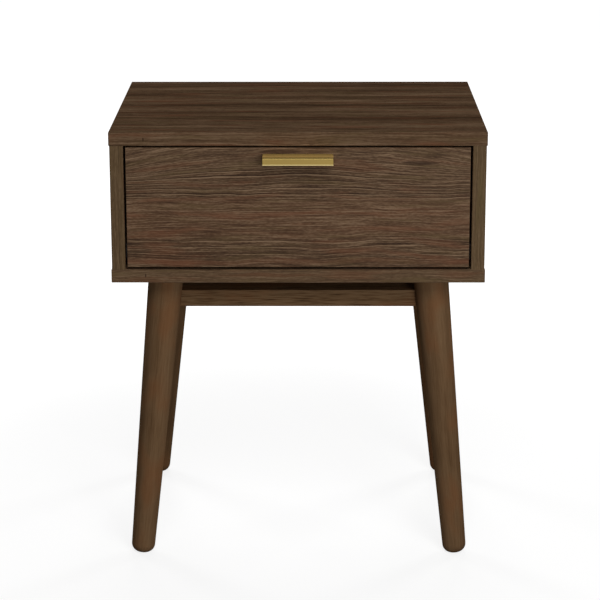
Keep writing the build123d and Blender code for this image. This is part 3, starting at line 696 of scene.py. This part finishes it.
@dataclass(frozen=True)
class Fastener:
    """A turned fastener with a driver's recess, drawn upright and set on its seat."""

    head: float                   # diameter of the head
    rise: float                   # how far the head stands over its seat
    shank: float                  # diameter of the shank
    length: float                 # from the seat to the tip
    sink: float = 0.0             # depth of a countersunk head's cone
    neck: tuple[float, float] = (0.0, 0.0)      # diameter and end of a thicker part under the head
    tip: float = 0.0              # length of the point
    drive: Drive = Drive.CROSS
    key: float = 0.003            # across the recess
    depth: float = 0.0014
    crest: float = 0.62           # the flat top's share of the head
    segments: int = 32

    def holds(self, centre: Vector) -> bool:
        """Tell whether a place on the flat top lies in the recess."""
        if self.drive is Drive.HEXAGON:
            turns = (math.radians(60.0 * number) for number in range(3))
            return all(abs(centre.x * math.cos(turn) + centre.y * math.sin(turn)) < self.key / 2
                       for turn in turns)
        near, far = sorted((abs(centre.x), abs(centre.y)))
        return near < self.key * CROSS_ARM and far < self.key / 2

    def cuts(self) -> list[tuple[Vector, float]]:
        """Return the planes that outline the recess, each as a direction and a distance."""
        if self.drive is Drive.HEXAGON:
            turns = [math.radians(60.0 * number) for number in range(6)]
            return [(Vector((math.cos(turn), math.sin(turn), 0.0)), self.key / 2) for turn in turns]
        sides = [sign * axis.direction for axis in (Axis.X, Axis.Y) for sign in (1.0, -1.0)]
        return [(side, reach) for side in sides for reach in (self.key * CROSS_ARM, self.key / 2)]

    def rings(self) -> list[tuple[float, float]]:
        """Return the radius and height of each ring below the flat top, down to the tip."""
        radius, core = self.head / 2, self.shank / 2
        rings = []
        if self.rise > 0.0:
            rings += [(radius * width, self.rise * level) for width, level in DOME]
        rings.append((radius, 0.0))
        thick, end = self.neck[0] / 2, -self.neck[1]
        if end < 0.0:
            rings += [(thick, -self.sink), (thick, end), (core, end)]
        else:
            rings.append((core, -self.sink))
        rings.append((core, self.tip - self.length))
        if self.tip > 0.0:
            rings.append((core * POINT, -self.length))
        return rings

    def add(self, mesh: bmesh.types.BMesh, seat: Point, outward: Point) -> None:
        """Turn one fastener and put it in place.

        Args:
            mesh: The mesh that takes it.
            seat: The middle of the face that its head lies on.
            outward: The direction its head faces.
        """
        piece = bmesh.new()
        flat = self.head / 2 * self.crest
        bmesh.ops.create_circle(piece, cap_ends=True, segments=self.segments, radius=flat)
        for direction, reach in self.cuts():
            bmesh.ops.bisect_plane(piece, geom=piece.verts[:] + piece.edges[:] + piece.faces[:],
                                   dist=MERGE, plane_co=direction * reach, plane_no=direction)
        bmesh.ops.translate(piece, verts=piece.verts, vec=(0.0, 0.0, self.rise))
        rim = [edge for edge in piece.edges if edge.is_boundary]
        recess = [face for face in piece.faces if self.holds(face.calc_center_median())]
        floor = bmesh.ops.extrude_face_region(piece, geom=recess)
        corners = [item for item in floor["geom"] if isinstance(item, bmesh.types.BMVert)]
        bmesh.ops.scale(piece, vec=(RECESS_TAPER, RECESS_TAPER, 1.0), verts=corners)
        bmesh.ops.translate(piece, verts=corners, vec=(0.0, 0.0, -self.depth))
        bmesh.ops.delete(piece, geom=recess, context="FACES")
        height, reached = self.rise, flat
        for radius, level in self.rings():
            grown = bmesh.ops.extrude_edge_only(piece, edges=rim)["geom"]
            ring = [item for item in grown if isinstance(item, bmesh.types.BMVert)]
            rim = [item for item in grown if isinstance(item, bmesh.types.BMEdge)]
            bmesh.ops.scale(piece, vec=(radius / reached, radius / reached, 1.0), verts=ring)
            bmesh.ops.translate(piece, verts=ring, vec=(0.0, 0.0, level - height))
            height, reached = level, radius
        bmesh.ops.contextual_create(piece, geom=rim)
        bmesh.ops.remove_doubles(piece, verts=piece.verts, dist=MERGE)
        bmesh.ops.recalc_face_normals(piece, faces=piece.faces)
        turn = Axis.Z.direction.rotation_difference(Vector(outward))
        piece.transform(Matrix.Translation(seat) @ turn.to_matrix().to_4x4())
        part = bpy.data.meshes.new("fastener")
        piece.to_mesh(part)
        piece.free()
        mesh.from_mesh(part)
        bpy.data.meshes.remove(part)


def settled(mesh: bmesh.types.BMesh) -> tuple[list[Point], list[list[int]]]:
    """List a mesh in an order that is the same each run, which the operators don't keep.

    Args:
        mesh: The mesh.

    Returns:
        Its points, sorted by place, and its faces, sorted by their points.
    """
    verts = sorted(mesh.verts, key=lambda vert: tuple(vert.co))
    rank = {vert: number for number, vert in enumerate(verts)}
    faces = sorted([rank[vert] for vert in face.verts] for face in mesh.faces)
    return [tuple(vert.co) for vert in verts], faces


@dataclass
class FastenerSet:
    """All fasteners of one kind, in the places of the plain ones that they stand for."""

    name: str
    node: str
    body: str
    kind: Fastener
    outward: Point                    # the way the heads face on the right side
    rows: int = 1                     # how many lie along the table's depth
    levels: int = 1                   # and above each other

    def places(self, axis: Axis, count: int) -> list[float]:
        """Return the heads' places along one axis, spread evenly over the plain ones' box."""
        low, high = (corner[axis.value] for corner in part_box(self.node))
        if count == 1:
            return [(low + high) / 2]
        first, last = low + self.kind.head / 2, high - self.kind.head / 2
        return [first + (last - first) * number / (count - 1) for number in range(count)]

    def seats(self) -> list[tuple[Point, Point]]:
        """Return each head's seat and the way it faces, on both sides of the table."""
        low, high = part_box(self.node)
        faced = next(axis for axis in Axis if self.outward[axis.value])
        front = (high if self.outward[faced.value] > 0.0 else low)[faced.value]
        level = front - self.outward[faced.value] * self.kind.rise
        if faced is Axis.X:
            sideways = abs(level) if self.outward[0] > 0.0 else high[0] - self.kind.length
        else:
            sideways = high[0] - self.kind.head / 2
        seats = []
        for side in (-1.0, 1.0):
            for y in self.places(Axis.Y, self.rows):
                for z in self.places(Axis.Z, self.levels):
                    seat = [side * sideways, y, z]
                    if faced is not Axis.X:
                        seat[faced.value] = level
                    seats.append((tuple(seat), (side * self.outward[0], *self.outward[1:])))
        return seats

    def build(self, finish: bpy.types.Material) -> None:
        """Make the set as one piece.

        Args:
            finish: The metal's finish.
        """
        mesh = bmesh.new()
        for seat, outward in self.seats():
            self.kind.add(mesh, seat, outward)
        points, faces = settled(mesh)
        mesh.free()
        data = bpy.data.meshes.new(self.name)
        data.from_pydata(points, [], faces)
        piece = bpy.data.objects.new(self.name, data)
        bpy.context.scene.collection.objects.link(piece)
        data.materials.append(finish)
        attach(piece, self.body)
        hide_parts(self.node)
        LOG.info("%s: %d made", self.name, len(self.seats()))


CONFIRMAT = Fastener(head=0.010, rise=0.0, shank=0.005, length=0.050, sink=0.0015, neck=(0.007, 0.018),
                     tip=0.002, drive=Drive.HEXAGON, key=0.004, depth=0.003, crest=0.94)
COUNTERSUNK = Fastener(head=0.007, rise=0.0, shank=0.004, length=0.038, sink=0.0015, tip=0.004,
                       key=0.0036, depth=0.0013, crest=0.92)
RUNNER_SCREW = Fastener(head=0.006, rise=0.001, shank=0.0035, length=0.014, tip=0.003, key=0.0032,
                        depth=0.0012)
MACHINE_SCREW = Fastener(head=0.008, rise=0.0024, shank=0.004, length=0.0205, key=0.0042, depth=0.0016)


@dataclass
class Screws:
    """The driven screws that show a recess."""

    sets: tuple[FastenerSet, ...] = (
        FastenerSet("base_screw_set", "base_screws", "carcass", CONFIRMAT, (0.0, 0.0, -1.0), rows=2),
        FastenerSet("cabinet_runner_screw_set", "cabinet_runner_screws", "carcass", RUNNER_SCREW,
                    (-1.0, 0.0, 0.0), rows=3),
        FastenerSet("drawer_runner_screw_set", "drawer_runner_screws", "drawer", RUNNER_SCREW,
                    (0.0, 0.0, -1.0), rows=3),
        FastenerSet("drawer_back_screw_set", "drawer_back_screws", "drawer", COUNTERSUNK,
                    (1.0, 0.0, 0.0), levels=2),
        FastenerSet("pull_screw_set", "handle_screws", "drawer", MACHINE_SCREW, (0.0, 1.0, 0.0)),
    )

    def dress(self) -> None:
        """Build every set in bright zinc plate."""
        finish = PlainMetal("bright_zinc_plate", tint(176, 178, 180), 0.3).material()
        for fasteners in self.sets:
            fasteners.build(finish)


# ---- the table ----


@dataclass
class Cabinet:
    """The boards of the cabinet, with the fittings that hold them."""

    tick_run: float = -0.204          # the small knot in the front and rear bands of top and bottom
    tick_shape: tuple[float, float, float] = (0.0009, 0.003, 0.9)
    top_tick: float = 0.5905          # its height in each band
    bottom_tick: float = 0.4053
    top_belts: tuple[Belt, ...] = (
        Belt(0.935, 0.985, tone=0.1),             # the edge bands
        Belt(0.14, 0.3, 0.03, tone=-0.09),        # painted shade: a darker strip along the rear
    )

    def tick(self, level: float) -> Knot:
        """Return the small knot of a front and a rear band, at a height."""
        return Knot(self.tick_run, level + BAND_SHIFT, *self.tick_shape)

    def dress(self) -> None:
        """Finish the boards, the back and the hidden fittings."""
        dress(WalnutPrint("walnut_top", Axis.X, Axis.Z, 2.0, belts=self.top_belts,
                          knots=(self.tick(self.top_tick),), band=1.0, streak=0.6, grained=0.9,
                          mottle=0.1, specular=0.0).material(), "top_panel")
        dress(WalnutPrint("walnut_bottom", Axis.X, Axis.Z, 4.0, knots=(self.tick(self.bottom_tick),),
                          band_olive=0.15).material(), "bottom_panel")
        dress(WalnutPrint("walnut_left_side", Axis.Y, Axis.X, 6.0, band_olive=0.45).material(),
              "left_side_panel")
        dress(WalnutPrint("walnut_right_side", Axis.Y, Axis.X, 8.0, band_olive=0.5).material(),
              "right_side_panel")
        dress(WalnutPrint("walnut_back", Axis.X, Axis.Y, 10.0, contrast=0.6, lines=0.2,
                          roughness=0.6).material(), "back_panel")
        dress(Moulded("beech_dowel", tint(205, 170, 120), 0.6).material(),
              "carcass_dowels", "frame_dowels", "leg_dowels", "drawer_dowels")
        dress(PlainMetal("die_cast_zinc", tint(160, 160, 158), 0.42).material(),
              "cam_locks", "drawer_cam_locks")
        dress(PlainMetal("zinc_plate", tint(176, 178, 180), 0.3).material(),
              "cam_bolts", "base_screws", "leg_inserts", "leg_washers", "leg_bolts", "cabinet_runner_screws",
              "front_roller_rivets", "drawer_cam_bolts", "drawer_back_screws", "drawer_runner_screws",
              "rear_roller_rivets", "handle_screws")


@dataclass
class LegFrame:
    """Four splayed, turned legs and the stretcher frame between them."""

    splay: tuple[float, float] = (0.038, 0.020)     # outward run of a leg's axis, over its height
    height: float = 0.3955
    front_lift: float = 0.2           # lightness of the stain on the front legs and the rails
    # the rear legs are painted darker than the front ones: painted shade
    rear_shade_lift: float = 0.03
    rail_grained: float = 2.2

    def dress(self) -> None:
        """Finish the legs and the rails along their own grain."""
        corners = {"front_left": (-1, -1), "front_right": (1, -1), "rear_left": (-1, 1), "rear_right": (1, 1)}
        for number, (corner, (x_side, y_side)) in enumerate(corners.items()):
            axis = Vector((-x_side * self.splay[0], -y_side * self.splay[1], self.height))
            # the rear legs take the darker lift, a painted shade
            lift = self.front_lift if y_side < 0 else self.rear_shade_lift
            dress(StainedWood(f"stained_{corner}_leg", axis, 3.0 * number, lift=lift).material(),
                  f"{corner}_leg")
        rails = {"front": Axis.X, "rear": Axis.X, "left": Axis.Y, "right": Axis.Y}
        for number, (rail, axis) in enumerate(rails.items()):
            dress(StainedWood(f"stained_{rail}_rail", axis.direction, 20.0 + number, lift=self.front_lift,
                              grained=self.rail_grained).material(), f"{rail}_rail")


@dataclass
class Drawer:
    """The drawer: its figured front, its box and its pull."""

    crown: Crown = field(default_factory=lambda: Crown(0.03, 0.013, 0.19, 0.565, 0.06))
    belts: tuple[Belt, ...] = (
        Belt(0.563, 0.600, lines=-0.25, tone=0.04, warmth=-0.2),
        Belt(0.512, 0.562, lines=0.9, tone=-0.01, warmth=-0.15),
        Belt(0.456, 0.512, lines=-0.15, tone=0.02, warmth=0.12),
        Belt(0.430, 0.456, lines=0.35, tone=-0.05),
        Belt(0.421, 0.427, 0.002, tone=0.02, warmth=0.3),
    )
    knots: tuple[Knot, ...] = (
        Knot(0.160, 0.5585, 0.024, 0.0034, 0.6),
        Knot(0.166, 0.5580, 0.009, 0.0018, 0.45),
        Knot(-0.024, 0.5742, 0.030, 0.0036, 0.7),
    )

    def dress(self) -> None:
        """Finish the front, the box and the pull."""
        dress(WalnutPrint("walnut_drawer_front", Axis.X, Axis.Y, 12.0, self.crown, self.belts,
                          self.knots, spacing=0.0056).material(), "drawer_front")
        dress(WalnutPrint("drawer_board_sides", Axis.Y, Axis.X, 14.0, contrast=0.45, lines=0.0,
                          roughness=0.55).material(), "drawer_left_side", "drawer_right_side")
        dress(WalnutPrint("drawer_board_back", Axis.X, Axis.Y, 16.0, contrast=0.45, lines=0.0,
                          roughness=0.55).material(), "drawer_back")
        dress(WalnutPrint("hardboard_floor", Axis.Y, Axis.Z, 18.0, contrast=0.45, lines=0.0,
                          roughness=0.65).material(), "drawer_bottom")
        dress(BrushedBrass("brushed_brass").material(), "handle")


@dataclass
class Runners:
    """The roller runners on both sides of the drawer."""

    def dress(self) -> None:
        """Finish the folded members and the rollers."""
        dress(Moulded("powder_coat", tint(46, 40, 36), 0.5).material(),
              "left_cabinet_runner", "right_cabinet_runner", "left_drawer_runner", "right_drawer_runner")
        dress(Moulded("nylon_roller", tint(40, 37, 35), 0.45, 400.0).material(),
              "front_left_roller", "front_right_roller", "rear_left_roller", "rear_right_roller")


# ---- stage, light and camera ----


@dataclass(frozen=True)
class SoftBox:
    """A soft rectangular lamp that faces a point on the table."""

    name: str
    azimuth: float            # degrees to the right of the table's front
    elevation: float          # degrees above the floor
    distance: float
    width: float
    height: float
    power: float
    target: Point = (0.0, 0.0, 0.35)

    def build(self) -> None:
        """Hang the lamp in the scene."""
        data = bpy.data.lights.new(self.name, "AREA")
        data.shape = "RECTANGLE"
        data.size, data.size_y, data.energy = self.width, self.height, self.power
        lamp = bpy.data.objects.new(self.name, data)
        turn, rise = math.radians(self.azimuth), math.radians(self.elevation)
        away = Vector((math.sin(turn) * math.cos(rise), -math.cos(turn) * math.cos(rise), math.sin(rise)))
        lamp.location = Vector(self.target) + away * self.distance
        lamp.rotation_mode = "QUATERNION"
        lamp.rotation_quaternion = away.to_track_quat("Z", "Y")
        bpy.context.scene.collection.objects.link(lamp)


@dataclass
class Studio:
    """A white room: floor, sky and soft lamps."""

    ambient: float = 0.06
    floor_albedo: float = 0.3
    floor_glow: float = 0.78          # near the table, where the floor shows its shadow
    floor_size: float = 30.0
    glow_start: float = 0.5
    glow_end: float = 1.5
    lamps: tuple[SoftBox, ...] = (
        SoftBox("key_lamp", 8.0, 42.0, 3.2, 1.6, 1.3, 36.5),
        SoftBox("low_lamp", 22.0, 9.0, 3.2, 1.2, 0.7, 30.0),
        SoftBox("right_lamp", 38.0, 12.0, 3.2, 0.5, 1.4, 8.0),
        SoftBox("back_left_lamp", -138.0, 12.0, 3.2, 0.9, 1.2, 34.0),
        SoftBox("back_right_lamp", 136.0, 12.0, 3.2, 0.9, 1.2, 33.0),
        SoftBox("back_lamp", 180.0, 40.0, 3.2, 1.2, 0.8, 30.0),
    )

    def seen(self, graph: Graph) -> Socket:
        """Return 1 for camera, glossy and transmission rays, and 0 for the rest."""
        path = graph.nodes.new("ShaderNodeLightPath")
        glossy = graph.math("MAXIMUM", path.outputs["Is Camera Ray"], path.outputs["Is Glossy Ray"])
        return graph.math("MAXIMUM", glossy, path.outputs["Is Transmission Ray"])

    def build_floor(self) -> None:
        """Lay a white floor that keeps the table's shadow and fades into the background."""
        mesh = bpy.data.meshes.new("floor")
        sheet = bmesh.new()
        bmesh.ops.create_grid(sheet, x_segments=1, y_segments=1, size=self.floor_size / 2)
        sheet.to_mesh(mesh)
        sheet.free()
        floor = bpy.data.objects.new("floor", mesh)
        bpy.context.scene.collection.objects.link(floor)
        graph = Graph(bpy.data.materials.new("floor_white"))
        x, y, _ = graph.split(graph.place.outputs["Object"])
        radius = graph.math("SQRT", graph.total(graph.product(x, x), graph.product(y, y)))
        glow = graph.stretch(radius, self.glow_start, self.glow_end, self.floor_glow, 1.0)
        diffuse = graph.nodes.new("ShaderNodeBsdfDiffuse")
        diffuse.inputs["Color"].default_value = (*(self.floor_albedo,) * 3, 1.0)
        emission = graph.nodes.new("ShaderNodeEmission")
        graph.links.new(graph.product(glow, self.seen(graph)), emission.inputs["Strength"])
        both = graph.nodes.new("ShaderNodeAddShader")
        graph.links.new(diffuse.outputs[0], both.inputs[0])
        graph.links.new(emission.outputs[0], both.inputs[1])
        output = graph.nodes.new("ShaderNodeOutputMaterial")
        graph.links.new(both.outputs[0], output.inputs["Surface"])
        mesh.materials.append(graph.owner)

    def build_sky(self) -> None:
        """Make the world white where it is seen, and plain soft light elsewhere."""
        world = bpy.data.worlds.new("studio")
        bpy.context.scene.world = world
        graph = Graph(world)
        sky = graph.nodes.new("ShaderNodeBackground")
        graph.feed(sky.inputs["Strength"], graph.choose(self.seen(graph), self.ambient, 1.0))
        graph.feed(sky.inputs["Color"], (1.0, 1.0, 1.0))
        output = graph.nodes.new("ShaderNodeOutputWorld")
        graph.links.new(sky.outputs[0], output.inputs["Surface"])

    def build(self) -> None:
        """Set the stage and hang the lamps."""
        self.build_floor()
        self.build_sky()
        for lamp in self.lamps:
            lamp.build()
            LOG.info("lamp %s", lamp.name)


@dataclass(frozen=True)
class Viewpoint:
    """The camera: a long lens in front of the table, a little above it."""

    place: Point = (0.01873, -3.04087, 1.14862)
    down: float = 0.2658              # radians below the horizon
    turn: float = -0.0057             # radians to the right
    roll: float = -0.0013
    lens: float = 132.27
    sensor: float = 36.0

    def build(self) -> None:
        """Put the camera in the scene."""
        forward = Vector((math.sin(self.turn) * math.cos(self.down),
                          math.cos(self.turn) * math.cos(self.down), -math.sin(self.down)))
        level = forward.cross(Vector((0.0, 0.0, 1.0))).normalized()
        upright = level.cross(forward)
        right = level * math.cos(self.roll) + upright * math.sin(self.roll)
        up = upright * math.cos(self.roll) - level * math.sin(self.roll)
        data = bpy.data.cameras.new("camera")
        data.lens, data.sensor_width, data.sensor_fit = self.lens, self.sensor, "HORIZONTAL"
        data.clip_start, data.clip_end = 0.05, 100.0
        camera = bpy.data.objects.new("camera", data)
        turned = Matrix((right, up, -forward)).transposed().to_4x4()
        camera.matrix_world = Matrix.Translation(self.place) @ turned
        bpy.context.scene.collection.objects.link(camera)
        bpy.context.scene.camera = camera


def main() -> None:
    """Dress the table, set the stage and place the camera."""
    logging.basicConfig(level=logging.INFO, format="%(name)s: %(message)s")
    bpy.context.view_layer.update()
    for part in (Cabinet(), LegFrame(), Drawer(), Runners(), Screws()):
        part.dress()
        LOG.info("dressed the %s", type(part).__name__)
    Studio().build()
    Viewpoint().build()
    bpy.context.scene.view_settings.view_transform = "Standard"


if __name__ == "__main__":
    main()
